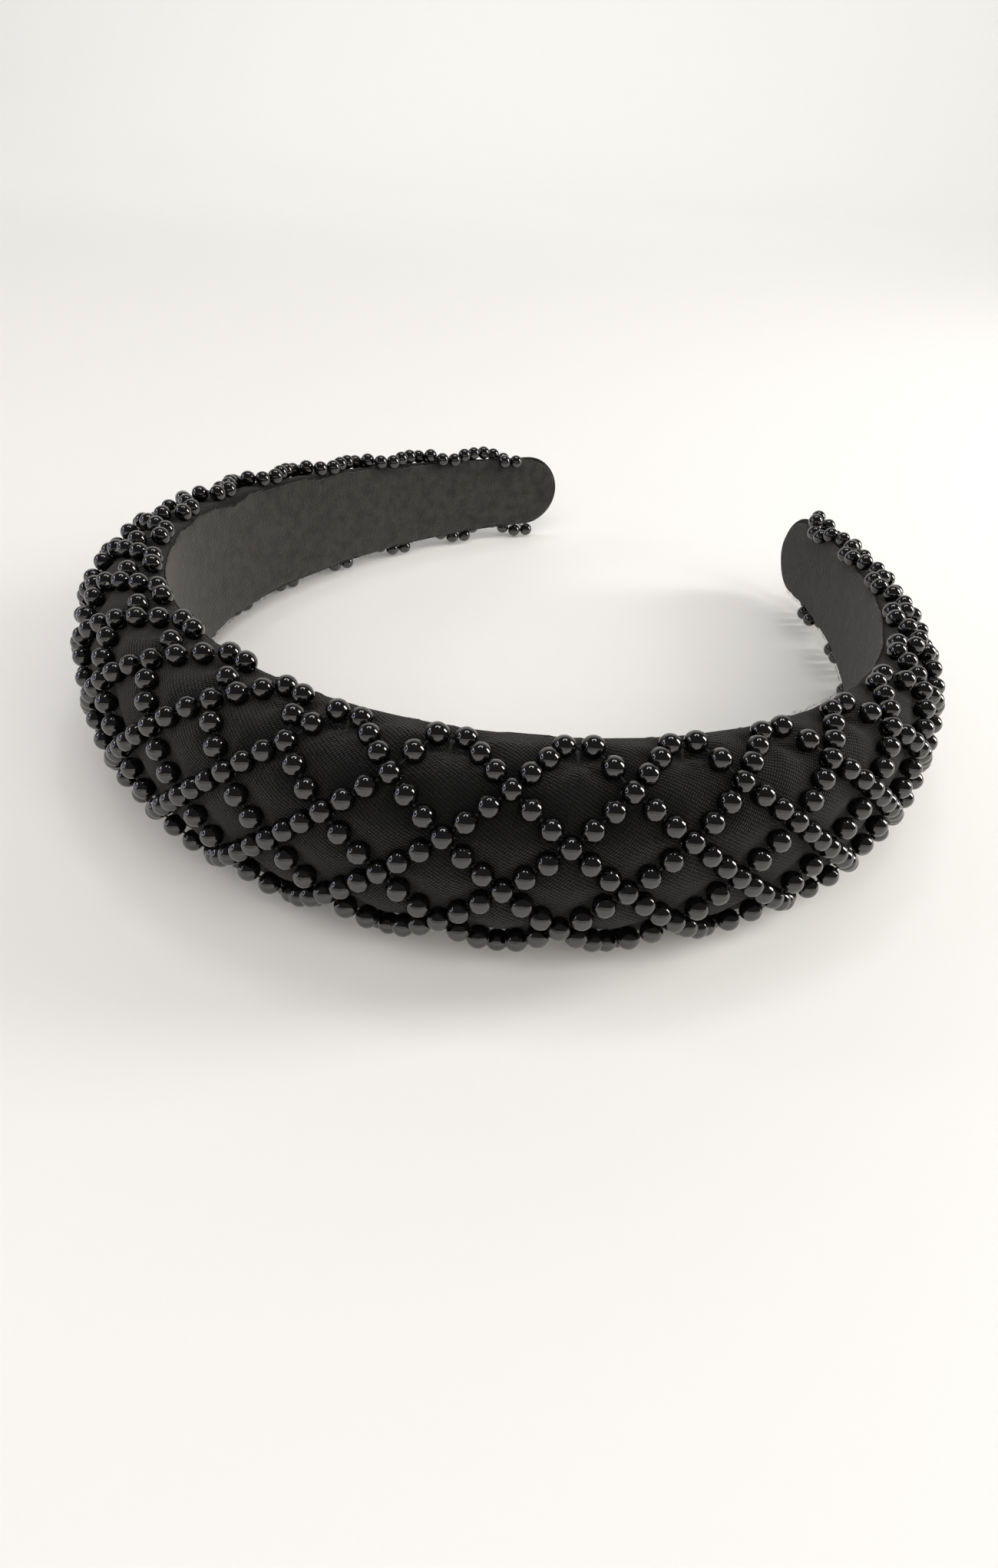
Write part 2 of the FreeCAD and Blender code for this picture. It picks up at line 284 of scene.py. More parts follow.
def newObject(name, verts, faces, material=None, uv=None):
    mesh = bpy.data.meshes.new(name)
    verts = np.ascontiguousarray(verts, np.float32)
    faces = np.ascontiguousarray(faces, np.int32)
    mesh.vertices.add(len(verts))
    mesh.vertices.foreach_set("co", verts.ravel())
    mesh.loops.add(faces.size)
    mesh.loops.foreach_set("vertex_index", faces.ravel())
    mesh.polygons.add(len(faces))
    mesh.polygons.foreach_set("loop_start", np.arange(len(faces), dtype=np.int32) * faces.shape[1])
    mesh.update(calc_edges=True)
    if uv is not None:
        layer = mesh.uv_layers.new(name="cloth")
        layer.data.foreach_set("uv", np.ascontiguousarray(uv[faces.ravel()], np.float32).ravel())
    mesh.shade_smooth()
    obj = bpy.data.objects.new(name, mesh)
    bpy.context.scene.collection.objects.link(obj)
    if material is not None:
        mesh.materials.append(material)
    return obj


def shell(outer, inner):
    stations, across = outer.shape[:2]
    verts = np.concatenate([outer, inner[:, ::-1]], 1)
    ring = 2 * across
    index = np.arange(stations * ring).reshape(stations, ring)
    a = index[:-1]
    b = index[1:]
    sides = np.stack([a, b, np.roll(b, -1, 1), np.roll(a, -1, 1)], -1).reshape(-1, 4)
    caps = []
    for row, flip in ((index[0], False), (index[-1], True)):
        top = row[:across]
        under = row[across:][::-1]
        cap = np.stack([top[:-1], top[1:], under[1:], under[:-1]], -1)
        caps.append(cap[:, ::-1] if flip else cap)
    return verts.reshape(-1, 3), np.concatenate([sides] + caps)


def softNoise(x, y, size, seed):
    table = np.random.default_rng(seed).uniform(-1, 1, (256, 256))
    x, y = np.asarray(x) / size + 500, np.asarray(y) / size + 500
    x0, y0 = np.floor(x).astype(int), np.floor(y).astype(int)
    fx, fy = x - x0, y - y0
    fx, fy = fx * fx * (3 - 2 * fx), fy * fy * (3 - 2 * fy)

    def at(i, j):
        return table[i % 256, j % 256]

    low = at(x0, y0) * (1 - fx) + at(x0 + 1, y0) * fx
    high = at(x0, y0 + 1) * (1 - fx) + at(x0 + 1, y0 + 1) * fx
    return low * (1 - fy) + high * fy


def wholePiece(obj, slotName, *nodes):
    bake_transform(obj)
    if nodes:
        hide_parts(*nodes)
    return obj


# cloth cover: sections round the padding, from hem edge to hem edge
cloth = {
    "step": 0.62, "domeColumns": 96, "hemColumns": 8, "hem": 5.0, "hemLeast": 0.25, "softCorner": 3,
    "sectionPoints": 240, "tipTurn": 88.5, "tipBlunt": 5, "tipRise": 0.02, "edgeFade": 8,
    "puff": 0.95, "armPuff": 0.4, "puffReach": 2.6, "ripple": 0.10, "rippleSize": 7.0,
    "dimple": 0.45, "dimpleReach": 1.7, "hollow": 0.75, "hollowReach": 4.6, "armPull": 0.25,
    "pleat": 0.24, "pleatReach": 3.4, "pleatCount": 6, "pleatAt": 2.4, "pleatStart": 1.6,
    "nearStrands": 45, "nearTacks": 30,
    "flatWidth": 58.0, "flatLength": 400.0, "flatArea": 0.0176,
}
tipRound = band["tipWidth"] / 2
straightEnd = halfLength - tipRound


def clothStations(step):
    count = int(straightEnd * 2 / step) + 1
    middle = np.linspace(-straightEnd, straightEnd, count)
    quarterSteps = int(tipRound * 1.5 / step) + 2
    turn = np.radians(np.linspace(0, cloth["tipTurn"], quarterSteps))[1:]
    return middle, turn


def stationPlaces(inset, step):
    middle, turn = clothStations(step)
    end = straightEnd + (tipRound - inset) * np.sin(turn)
    return np.concatenate([-end[::-1], middle, end])


def tipShare(s, inset):
    past = np.clip((np.abs(s) - straightEnd) / (tipRound - inset), 0, 1)
    return (1 - past ** cloth["tipBlunt"]) ** 0.5


def wrapSection(s, inset, base, hem):
    half = float(halfWidth(s, inset))
    rise = (float(depth(s)) - inset - base) * float(tipShare(s, inset)) + cloth["tipRise"]
    angle = np.linspace(math.pi, 0, cloth["sectionPoints"])
    domeZ = half * np.sign(np.cos(angle)) * np.abs(np.cos(angle)) ** band["domePower"]
    domeU = base + rise * np.sin(angle).clip(0) ** band["domePower"]
    inward = max(half - hem, half * cloth["hemLeast"])
    z = np.concatenate([[-inward], domeZ, [inward]])
    u = np.concatenate([[base], domeU, [base]])
    gone = np.concatenate([[0], np.cumsum(np.hypot(np.diff(z), np.diff(u)))])
    hemShare = (half - inward) / gone[-1]
    spots = np.concatenate([
        np.linspace(0, hemShare, cloth["hemColumns"], endpoint=False),
        np.linspace(hemShare, 1 - hemShare, cloth["domeColumns"]),
        np.linspace(1 - hemShare, 1, cloth["hemColumns"] + 1)[1:]]) * gone[-1]
    z, u = np.interp(spots, gone, z), np.interp(spots, gone, u)
    for turn in range(cloth["softCorner"]):
        z[1:-1] = (z[:-2] + 2 * z[1:-1] + z[2:]) / 4
        u[1:-1] = (u[:-2] + 2 * u[1:-1] + u[2:]) / 4
    tz, tu = np.gradient(z), np.gradient(u)
    size = np.maximum(np.hypot(tz, tu), 1e-9)
    return z, u, -tu / size, tz / size, spots - gone[-1] / 2


segmentStart = beadCentres[[a for a, b in links]]
segmentEnd = beadCentres[[b for a, b in links]]
tackPoints = np.array([onCover(s, v, -beadOffset) for s, v in tacks])
tackSideways = np.array([onCover(s, v + 0.5) - onCover(s, v - 0.5) for s, v in tacks])


def strandDistance(points):
    middles = (segmentStart + segmentEnd) / 2
    near = np.linalg.norm(middles - points.mean(0), axis=1) < cloth["nearStrands"]
    a, b = segmentStart[near], segmentEnd[near]
    if len(a) == 0:
        return np.full(len(points), 99.0)
    way = b - a
    share = np.einsum("psk,sk->ps", points[:, None] - a, way) / np.maximum((way ** 2).sum(1), 1e-9)
    nearest = a + np.clip(share, 0, 1)[..., None] * way
    squared = ((points[:, None] - nearest) ** 2).sum(-1).min(1)
    return np.sqrt(np.maximum(squared - beadOffset ** 2, 0))


# a tack pulls hard into the padded crown and gently on the flat arms
def tackStrength(s):
    return cloth["armPull"] + (1 - cloth["armPull"]) * float(eased(s))


def tackPull(points, s):
    near = np.linalg.norm(tackPoints - points.mean(0), axis=1) < cloth["nearTacks"]
    total = np.zeros(len(points))
    full = tackStrength(s)
    for point, sideways in zip(tackPoints[near], tackSideways[near]):
        offset = points - point
        far = np.linalg.norm(offset, axis=1)
        across = offset @ (sideways / np.linalg.norm(sideways))
        turn = np.arccos(np.clip(across / np.maximum(far, 1e-6), -1, 1))
        total -= cloth["dimple"] * full * np.exp(-(far / cloth["dimpleReach"]) ** 2)
        total -= cloth["hollow"] * full * np.exp(-(far / cloth["hollowReach"]) ** 2)
        fold = np.cos(turn * cloth["pleatCount"] + point[0])
        fold *= np.exp(-((far - cloth["pleatAt"]) / cloth["pleatReach"]) ** 2)
        total += cloth["pleat"] * full * fold * np.clip(far / cloth["pleatStart"], 0, 1)
    return total


def clothLift(s, z, u, w):
    points = place(s, z, u)
    away = strandDistance(points)
    rise = cloth["armPuff"] + (1 - cloth["armPuff"]) * float(eased(s))
    lift = cloth["puff"] * rise * (1 - np.exp(-(away / cloth["puffReach"]) ** 2))
    lift += tackPull(points, s)
    ripple = softNoise(np.full(len(w), s), w, cloth["rippleSize"], seed=3)
    lift += cloth["ripple"] * ripple * np.clip(away, 0, 1)
    return lift


def wrapSurfaces(insetBase, step):
    surfaces = []
    for inset, base in insetBase:
        rows, uvs = [], []
        for s in stationPlaces(inset, step):
            z, u, nz, nu, w = wrapSection(s, inset, base, cloth["hem"])
            lift = clothLift(s, z, u, w)
            edge = cloth["hemColumns"]
            lift[:edge + 1] = 0
            lift[-edge - 1:] = 0
            column = np.arange(len(z))
            fromEdge = np.minimum(column - edge, len(z) - 1 - edge - column)
            lift = lift * np.clip(fromEdge / cloth["edgeFade"], 0, 1) * float(tipShare(s, 0))
            z, u = z + nz * lift, u + nu * lift
            rows.append(place(s, z, u))
            uvs.append(np.stack([np.full(len(w), s), w], -1))
        surfaces.append((np.array(rows), np.array(uvs)))
    return surfaces


thick = band["cover"]
(coverOut, coverUv), (coverIn, coverInUv) = wrapSurfaces(
    [(0.0, foldU), (thick, foldU + thick)], cloth["step"])
print("cloth cover laid out")

# crepe: woven black polyester with a pebbled face, so it stays dull and only greys at a grazing angle
crepe, tree, shader = newMaterial("matte black crepe cloth")
setShader(shader, Base_Color=linear("#1b1a1a"), Roughness=0.92, Sheen_Weight=0.25,
          Sheen_Roughness=0.45, Sheen_Tint=linear("#a8a6a4"), Specular_IOR_Level=0.25)
verts, faces = shell(coverOut, coverIn)
uv = np.concatenate([coverUv, coverInUv[:, ::-1]], 1).reshape(-1, 2)
cover = newObject("cloth_cover", toPart(verts), faces, crepe, uv)
wholePiece(cover, "crepe_cloth", "cover_left", "cover_right")

# weave: threads cross over and under, wandering a little, with slubs where the yarn is thicker; a real
# crepe has about 0.2 mm between threads, which is too fine to show, so it is drawn coarser
weave = {
    "pitch": 0.32, "rib": 0.46, "bias": 0.6, "wander": 0.22, "wanderSize": 0.7692,
    "slubSize": 0.3846, "height": 0.15, "threadDark": 0.4, "threadLight": 1.7,
}
flat = addNode(tree, "ShaderNodeUVMap", uv_map="cloth")
where = addNode(tree, "ShaderNodeVectorRotate", {"Vector": flat.outputs["UV"], "Angle": weave["bias"]})
wander = addNode(tree, "ShaderNodeTexNoise", {
    "Vector": where.outputs["Vector"], "Scale": 1 / weave["wanderSize"], "Detail": 2.0})
shift = addNode(tree, "ShaderNodeVectorMath", {0: wander.outputs["Color"], 1: (0.5, 0.5, 0.5)},
                operation="SUBTRACT")
shift = addNode(tree, "ShaderNodeVectorMath", {0: shift.outputs[0], "Scale": weave["wander"]},
                operation="SCALE")
moved = addNode(tree, "ShaderNodeVectorMath", {0: where.outputs["Vector"], 1: shift.outputs[0]})
turns = addNode(tree, "ShaderNodeVectorMath", {0: moved.outputs[0], 1: (
    math.pi / weave["pitch"], math.pi / weave["rib"], 0)}, operation="MULTIPLY")
split = addNode(tree, "ShaderNodeSeparateXYZ", {0: turns.outputs[0]})
warp = addNode(tree, "ShaderNodeMath", {0: split.outputs["X"]}, operation="SINE")
weft = addNode(tree, "ShaderNodeMath", {0: split.outputs["Y"]}, operation="SINE")
over = addNode(tree, "ShaderNodeMath", {0: warp.outputs[0], 1: weft.outputs[0]}, operation="MULTIPLY")
crossing = addNode(tree, "ShaderNodeMath", {0: over.outputs[0]}, operation="ABSOLUTE")
slub = addNode(tree, "ShaderNodeTexNoise", {
    "Vector": where.outputs["Vector"], "Scale": 1 / weave["slubSize"], "Detail": 3.0})
height = addNode(tree, "ShaderNodeMath", {0: crossing.outputs[0], 1: slub.outputs["Fac"]}, operation="ADD")
bump = addNode(tree, "ShaderNodeBump", {"Height": height.outputs[0], "Distance": weave["height"] * mm})
tree.links.new(bump.outputs["Normal"], shader.inputs["Normal"])
dark = addNode(tree, "ShaderNodeMapRange", {
    "Value": crossing.outputs[0], "To Min": weave["threadDark"], "To Max": weave["threadLight"]})
tone = addNode(tree, "ShaderNodeMix", {0: 1.0, 6: linear("#0c0c0c"), 7: dark.outputs[0]},
               data_type="RGBA", blend_type="MULTIPLY")
tree.links.new(tone.outputs[2], shader.inputs["Base Color"])
print("cloth cover built")

# foam padding under the cover, thinned to nothing before the tips
foamSize = {
    "ease": 0.15, "short": 22.0, "step": 1.6, "columns": 60, "sinkShare": 0.9, "edgeFade": 1.5,
    "cell": 1.1, "cellDepth": 0.4,
}
# polyurethane foam, cut from a block: dry, dull and full of open cells
foamMat, tree, shader = newMaterial("charcoal open-cell foam")
setShader(shader, Base_Color=linear("#6f6f6f"), Roughness=0.95)
cells = addNode(tree, "ShaderNodeTexVoronoi", {"Scale": 1 / (foamSize["cell"] * mm)})
bump = addNode(tree, "ShaderNodeBump", {
    "Height": cells.outputs["Distance"], "Distance": foamSize["cellDepth"] * mm})
tree.links.new(bump.outputs["Normal"], shader.inputs["Normal"])
topRows, lowRows = [], []
inset = thick + foamSize["ease"]
foamEnd = halfLength - foamSize["short"]
for s in np.linspace(-1, 1, int(2 * halfLength / foamSize["step"])) * foamEnd:
    base = foldU + thick
    half, rise = float(halfWidth(s, inset)), float(depth(s)) - inset - base
    start = math.asin(min((foamU - base) / rise, 1) ** (1 / band["domePower"]))
    angle = np.linspace(math.pi - start, start, foamSize["columns"])
    z = half * np.sign(np.cos(angle)) * np.abs(np.cos(angle)) ** band["domePower"]
    u = base + rise * np.sin(angle) ** band["domePower"]
    sunk = np.minimum(tackPull(place(s, z, u + inset), s), 0)
    sunk = np.maximum(sunk, -(u - foamU) * foamSize["sinkShare"])
    tz, tu = np.gradient(z), np.gradient(u)
    size = np.hypot(tz, tu)
    fade = np.clip((u - foamU) / foamSize["edgeFade"], 0, 1)
    z, u = z - tu / size * sunk * fade, u + tz / size * sunk * fade
    topRows.append(place(s, z, u))
    lowRows.append(place(s, z, np.full(len(z), foamU)))
verts, faces = shell(np.array(topRows), np.array(lowRows))
foam = newObject("foam_padding", toPart(verts), faces, foamMat)
wholePiece(foam, "padding_foam", "foam_left", "foam_right")

# spring core: one flat strip with rounded ends
coreSize = {"inset": 0.35, "step": 1.5, "columns": 17, "edgeRound": 0.25}
# moulded polypropylene, black all through, with the soft gloss of a moulding
coreMat, tree, shader = newMaterial("black spring plastic")
setShader(shader, Base_Color=linear("#161616"), Roughness=0.42)
outRows, inRows = [], []
inner = thick + band["gap"]
base = foldU + thick
for s in stationPlaces(inner + coreSize["inset"], coreSize["step"]):
    rise = float(depth(s)) - inner - base
    slope = min((coreU + band["core"] - base) / rise, 1) ** (1 / band["domePower"])
    half = float(halfWidth(s, inner + coreSize["inset"]))
    half *= math.sqrt(1 - slope * slope) ** band["domePower"]
    side = np.linspace(-1, 1, coreSize["columns"])
    worn = np.where(np.abs(side) == 1, coreSize["edgeRound"], 0)
    outRows.append(place(s, half * side, coreU + band["core"] - worn))
    inRows.append(place(s, half * side, coreU + worn))
verts, faces = shell(np.array(outRows), np.array(inRows))
core = newObject("spring_core", toPart(verts), faces, coreMat)
wholePiece(core, "spring_plastic", "core_left", "core_right")
print("foam and core built")

# felt lining, laid over the turned-in hems, its cut edge a little ragged
felt = {
    "inset": 0.6, "step": 0.7, "columns": 44, "flatWidth": 27.6, "flatLength": 383.0, "flatArea": 0.0090,
    "wave": 0.42, "waveSize": 5.0, "fray": 0.20, "fraySize": 0.8, "mostRagged": 0.35, "raggedFrom": 4.0,
    "lump": 0.06, "lumpSize": 2.6, "edgeThin": 0.55, "nearFace": 0.02,
    "curlAt": -92.0, "curlSpan": 9.0, "curlIn": 0.7, "curlUp": 0.6, "curlFrom": 0.72, "curlUneven": 0.3,
    "mottleSize": 2.381, "mottleDark": 0.65, "mottleLight": 1.4, "fuzzSize": 0.3846, "fuzzDepth": 0.25,
    "fibres": 5200, "fibreLength": 1.1, "fibreWidth": 0.028, "fibresFrom": 72, "fibresShort": 8,
}
# needled polyester felt: no shine, cloudy where the fibres lie thicker, and a pale bloom of loose hairs
feltMat, tree, shader = newMaterial("charcoal brushed felt")
setShader(shader, Base_Color=linear("#222121"), Roughness=1.0, Sheen_Weight=0.45,
          Sheen_Roughness=0.5, Sheen_Tint=linear("#b4b2b0"), Specular_IOR_Level=0.15)
where = addNode(tree, "ShaderNodeTexCoord")
mottle = addNode(tree, "ShaderNodeTexNoise", {
    "Vector": where.outputs["Object"], "Scale": 1 / (felt["mottleSize"] * mm), "Detail": 5.0})
fuzz = addNode(tree, "ShaderNodeTexNoise", {  # real fibres are 0.02 mm; tufts of them are what shows
    "Vector": where.outputs["Object"], "Scale": 1 / (felt["fuzzSize"] * mm), "Detail": 3.0})
bump = addNode(tree, "ShaderNodeBump", {
    "Height": fuzz.outputs["Fac"], "Distance": felt["fuzzDepth"] * mm})
tree.links.new(bump.outputs["Normal"], shader.inputs["Normal"])
ramp = addNode(tree, "ShaderNodeMapRange", {
    "Value": mottle.outputs["Fac"], "From Min": 0.3, "From Max": 0.7,
    "To Min": felt["mottleDark"], "To Max": felt["mottleLight"]})
tone = addNode(tree, "ShaderNodeMix", {0: 1.0, 6: linear("#2b2a29"), 7: ramp.outputs[0]},
               data_type="RGBA", blend_type="MULTIPLY")
tree.links.new(tone.outputs[2], shader.inputs["Base Color"])
outRows, inRows, edgeRows = [], [], []
side = np.sin(np.linspace(-np.pi / 2, np.pi / 2, felt["columns"]))
for s in stationPlaces(felt["inset"], felt["step"]):
    half = float(halfWidth(s, felt["inset"]))
    z = half * side
    for end in (0, 1):
        ragged = felt["wave"] * float(softNoise(s, end * 40, felt["waveSize"], seed=5))
        ragged += felt["fray"] * float(softNoise(s, end * 40, felt["fraySize"], seed=6))
        ragged = min(ragged * min(half / felt["raggedFrom"], 1), felt["mostRagged"])
        z = z + (2 * end - 1) * ragged * np.abs(side) ** 8 * ((side > 0) == bool(end))
    curl = math.exp(-((s - felt["curlAt"]) / felt["curlSpan"]) ** 2)
    curl *= 1 + felt["curlUneven"] * float(softNoise(s, 9, 3.0, seed=11))
    z = z - felt["curlIn"] * curl * side.clip(0) ** 3
    lump = felt["lump"] * softNoise(np.full(len(z), s), z, felt["lumpSize"], seed=8)
    thin = band["lining"] * (1 - felt["edgeThin"] * np.abs(side) ** 14)
    rim = np.clip((1 - np.abs(side)) * 12, 0, 1)
    raised = felt["curlUp"] * curl * np.clip((side - felt["curlFrom"]) / (1 - felt["curlFrom"]), 0, 1) ** 2
    inRows.append(place(s, z, band["lining"] - thin + felt["nearFace"] + lump * rim * 0.6 - raised))
    outRows.append(place(s, z, np.full(len(z), band["lining"]) - raised))
    edgeRows.append((s, z[0], z[-1]))
verts, faces = shell(np.array(outRows), np.array(inRows))
lining = newObject("felt_lining", toPart(verts), faces, feltMat)
wholePiece(lining, "felt_lining", "lining_left", "lining_right")


# a tube along each path; its ends are closed with quads, which fit 4 or 6 sides
def tubes(paths, radius, sides=6):
    verts, faces = [], []
    base = 0
    for path in paths:
        path = np.asarray(path, float)
        tangent = np.gradient(path, axis=0)
        tangent /= np.linalg.norm(tangent, axis=1)[:, None]
        across = np.cross(tangent, (0.31, 0.52, 0.79))  # no path runs this way
        across /= np.linalg.norm(across, axis=1)[:, None]
        over = np.cross(tangent, across)
        turn = np.arange(sides) * 2 * np.pi / sides
        rings = path[:, None] + radius * (np.cos(turn)[None, :, None] * across[:, None]
                                          + np.sin(turn)[None, :, None] * over[:, None])
        index = base + np.arange(len(path) * sides).reshape(len(path), sides)
        a, b = index[:-1], index[1:]
        faces.append(np.stack([a, np.roll(a, -1, 1), np.roll(b, -1, 1), b], -1).reshape(-1, 4))
        if sides == 4:
            faces.append(np.array([index[0][::-1], index[-1]]))
        elif sides == 6:
            faces.append(np.array([index[0][[3, 2, 1, 0]], index[0][[5, 4, 3, 0]],
                                   index[-1][[0, 1, 2, 3]], index[-1][[0, 3, 4, 5]]]))
        verts.append(rings.reshape(-1, 3))
        base += len(path) * sides
    return np.concatenate(verts), np.concatenate(faces)


# loose fibres that stand off the felt's edges and face
fibrePaths = []
edges = np.array(edgeRows)
for n in range(felt["fibres"]):
    s = noise.choice([-1, 1]) * noise.uniform(felt["fibresFrom"], halfLength - felt["fibresShort"])
    low = np.interp(s, edges[:, 0], edges[:, 1])
    high = np.interp(s, edges[:, 0], edges[:, 2])
    long = felt["fibreLength"] * noise.uniform(0.4, 1.3)
    atEdge = n % 5 < 2
    z = noise.choice([low, high]) if atEdge else noise.uniform(low + 0.5, high - 0.5)
    out = math.copysign(noise.uniform(0.1, 0.5), z) if atEdge else 0.0
    drift = noise.uniform(-1, 1) * long
    rise = noise.uniform(0.02, 0.18) if atEdge else noise.uniform(0.04, 0.14)
    t = np.linspace(0, 1, 5)
    bend = noise.uniform(-0.4, 0.4)
    sideways = out * np.sin(t * 1.6) + bend * t * t * (not atEdge)
    inward = -0.01 - rise * np.sin(t * np.pi) + 0.02 * atEdge
    fibrePaths.append(place(s + drift * t, z + sideways, inward))
verts, faces = tubes(fibrePaths, felt["fibreWidth"] / 2, 4)
# single polyester hairs, paler than the felt because the light catches their sides
fibreMat, tree, shader = newMaterial("loose felt fibres")
setShader(shader, Base_Color=linear("#3a3938"), Roughness=0.9, Sheen_Weight=0.3)
fibres = newObject("felt_fibres", toPart(verts), faces, fibreMat)
wholePiece(fibres, "felt_lining")
print("lining built")

# glass beads, each with a thread hole
bead = {
    "segments": 26, "rings": 17, "rimRound": 0.12, "size": 0.015, "shift": 0.02, "tilt": 4.0,
    "plump": 1.10, "apart": 0.995, "unevenSize": 1.4286, "unevenDepth": 0.04,
}
# drawn and tumbled black glass: a small hard highlight for every lamp, on a slightly uneven face
glass, tree, shader = newMaterial("black glossy glass")
setShader(shader, Base_Color=linear("#050404"), Roughness=0.03, IOR=1.85, Specular_IOR_Level=0.5)
where = addNode(tree, "ShaderNodeTexCoord")
uneven = addNode(tree, "ShaderNodeTexNoise", {
    "Vector": where.outputs["Object"], "Scale": 1 / (bead["unevenSize"] * mm), "Detail": 1.0})
bump = addNode(tree, "ShaderNodeBump", {
    "Height": uneven.outputs["Fac"], "Distance": bead["unevenDepth"] * mm})
tree.links.new(bump.outputs["Normal"], shader.inputs["Normal"])

holeRadius = net["hole"] / 2
rim = bead["rimRound"]
firstAngle = math.asin((holeRadius + rim) / beadRadius)
profile = [(beadRadius * math.sin(a), beadRadius * math.cos(a))
           for a in np.linspace(firstAngle, math.pi - firstAngle, bead["rings"])]
topHeight = beadRadius * math.cos(firstAngle)
profile += [(holeRadius + rim * 0.35, -topHeight - 0.01), (holeRadius, -topHeight + rim * 0.8),
            (holeRadius, topHeight - rim * 0.8), (holeRadius + rim * 0.35, topHeight + 0.01)]
profile = np.array(profile)
turn = np.arange(bead["segments"]) * 2 * np.pi / bead["segments"]
template = np.stack([profile[:, None, 0] * np.cos(turn), profile[:, None, 0] * np.sin(turn),
                     np.broadcast_to(profile[:, None, 1], (len(profile), len(turn)))], -1)
index = np.arange(template.shape[0] * len(turn)).reshape(template.shape[0], -1)
after = np.roll(index, -1, 0)
templateFaces = np.stack([index, after, np.roll(after, -1, 1), np.roll(index, -1, 1)], -1)
templateFaces = templateFaces.reshape(-1, 4)
template = template.reshape(-1, 3)

# a bead is as plump as its nearest neighbour allows
gaps = np.linalg.norm(beadCentres[:, None] - beadCentres[None], axis=-1)
np.fill_diagonal(gaps, 99)
plump = np.clip(gaps.min(1) * bead["apart"] / net["bead"], 1 - bead["size"], bead["plump"])


def inMiddle(point):
    return abs(point[0]) < net["middleHalf"] and point[1] < 0


groups = {}
for (kind, centre, heading, outward), full in zip(beads, plump):
    name = "middle_beads" if inMiddle(centre) and kind != "lower_rim" else kind + "_beads"
    groups.setdefault(name, []).append((centre, heading, outward, full))
for name, members in sorted(groups.items()):
    verts, faces = [], []
    for n, (centre, heading, outward, full) in enumerate(members):
        axis = heading + noise.normal(0, math.radians(bead["tilt"]), 3)
        axis /= np.linalg.norm(axis)
        across = np.cross(axis, outward)
        across /= np.linalg.norm(across)
        spin = noise.uniform(0, 2 * np.pi)
        a = across * math.cos(spin) + np.cross(axis, across) * math.sin(spin)
        frameAxes = np.stack([a, np.cross(axis, a), axis])
        stretch = full * (1 + noise.uniform(-bead["size"], 0, 3))
        shift = noise.normal(0, bead["shift"] / 2, 3).clip(-bead["shift"], bead["shift"])
        verts.append((template * stretch) @ frameAxes + centre + shift)
        faces.append(templateFaces + n * len(template))
    obj = newObject(name, toPart(np.concatenate(verts)), np.concatenate(faces), glass)
    nodes = ["middle_beads"] if name == "middle_beads" else [name + "_left", name + "_right"]
    wholePiece(obj, "black_bead", *nodes)
print("beads built:", {k: len(v) for k, v in groups.items()})

# threads from bead to bead, and the tacks that hold the rim pairs
thread = {
    "radius": 0.16, "intoBead": 0.35, "shortOfBead": 0.03, "shortest": 0.05,
    "stitchRadius": 0.11, "stitchReach": 1.25, "stitchHigh": 0.42, "stitchSink": 0.35, "stitchUp": 0.12,
    "stitchApart": 0.14, "stitchLean": 0.1,
}
# nylon thread pulled through wax, which leaves a faint satin line between the beads
threadMat, tree, shader = newMaterial("black waxed thread")
setShader(shader, Base_Color=linear("#141313"), Roughness=0.55)
kinds = [b[0] for b in beads]
paths = {"net_threads": [], "middle_thread": []}
for a, b in links:
    start, end = beadCentres[a], beadCentres[b]
    way = end - start
    length = np.linalg.norm(way)
    way /= length
    ends = []
    for kind in (kinds[a], kinds[b]):
        inside = kind.startswith("strand")
        ends.append(beadRadius - thread["intoBead"] if inside else beadRadius + thread["shortOfBead"])
    if length - ends[0] - ends[1] < thread["shortest"]:
        continue
    t = np.linspace(ends[0], length - ends[1], 5)
    name = "middle_thread" if inMiddle((start + end) / 2) else "net_threads"
    paths[name].append(start + way * t[:, None])
for name, nodes in (("net_threads", ("net_thread_left", "net_thread_right")),
                    ("middle_thread", ("net_thread_middle",))):
    verts, faces = tubes(paths[name], thread["radius"])
    obj = newObject(name, toPart(verts), faces, threadMat)
    wholePiece(obj, "net_thread", *nodes)
# spun polyester sewing thread: dry and dull, a little paler than the net's
stitchMat, tree, shader = newMaterial("black sewing thread")
setShader(shader, Base_Color=linear("#191818"), Roughness=0.8, Sheen_Weight=0.2)
stitchPaths = []
for s, v in tacks:
    for side in (-1, 1):
        path = []
        for t in np.linspace(-1, 1, 9):
            arch = thread["stitchHigh"] * (1 - t * t) - thread["stitchSink"] * tackStrength(s) * t * t
            along = s + side * (thread["stitchApart"] + thread["stitchLean"] * t)
            lift = arch + thread["stitchUp"] - beadOffset
            path.append(onCover(along, v + t * thread["stitchReach"], lift))
        stitchPaths.append(path)
verts, faces = tubes(stitchPaths, thread["stitchRadius"])
stitches = newObject("tack_stitches", toPart(verts), faces, stitchMat)
wholePiece(stitches, "stitch_thread", "tack_stitches_left", "tack_stitches_right")
print("threads built")

